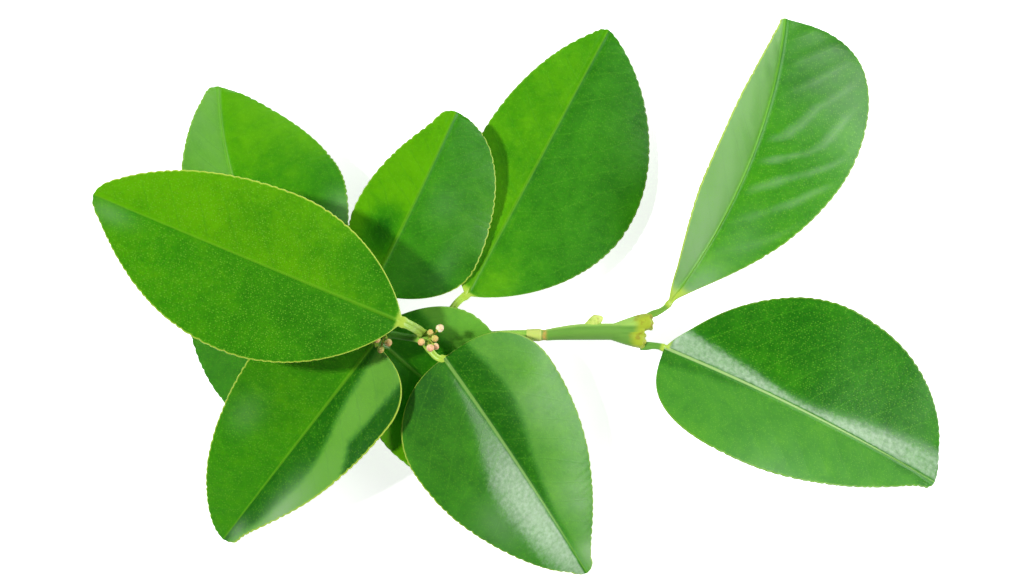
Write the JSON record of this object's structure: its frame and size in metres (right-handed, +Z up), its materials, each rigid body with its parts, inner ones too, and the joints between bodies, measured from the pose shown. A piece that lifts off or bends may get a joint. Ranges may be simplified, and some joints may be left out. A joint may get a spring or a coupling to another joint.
{
  "type": "lemon leaf sprig",
  "caption": "Cut sprig of a lemon tree lying flat: glossy folded leaves on short petioles, a green branched stem and small clusters of flower buds.",
  "frame": {"origin": "centre of the whole sprig's footprint, on the surface that it lies on", "axes": "+Z up from the surface, +X towards the broken end of the stem, along the stem; +Y across it"},
  "size_m": [0.233, 0.1566, 0.0417],
  "materials": {
    "leaf": "waxy fresh green leaf, glossy above, with a paler midrib and a thin yellow-green margin",
    "stem": "smooth satin green bark with yellow-green nodes",
    "flower_bud": "satin bud skin, from olive green and peach to cream",
    "dormant_bud": "satin pale yellow-green bud scale"
  },
  "bodies": {
    "root": {"stem": "stem", "dormant_bud": "dormant_bud", "leaf_front_left": "leaf", "leaf_back_small": "leaf", "leaf_back_tall": "leaf", "leaf_end_upper": "leaf", "leaf_end_lower": "leaf", "leaf_low_middle": "leaf", "leaf_low_left": "leaf", "leaf_back_left": "leaf", "leaf_under_left": "leaf", "leaf_inner": "leaf", "flower_bud_front_1": "flower_bud", "flower_bud_front_2": "flower_bud", "flower_bud_front_3": "flower_bud", "flower_bud_front_4": "flower_bud", "flower_bud_front_5": "flower_bud", "flower_bud_front_6": "flower_bud", "flower_bud_rear_1": "flower_bud", "flower_bud_rear_2": "flower_bud", "flower_bud_rear_3": "flower_bud"}
  },
  "joints": []
}
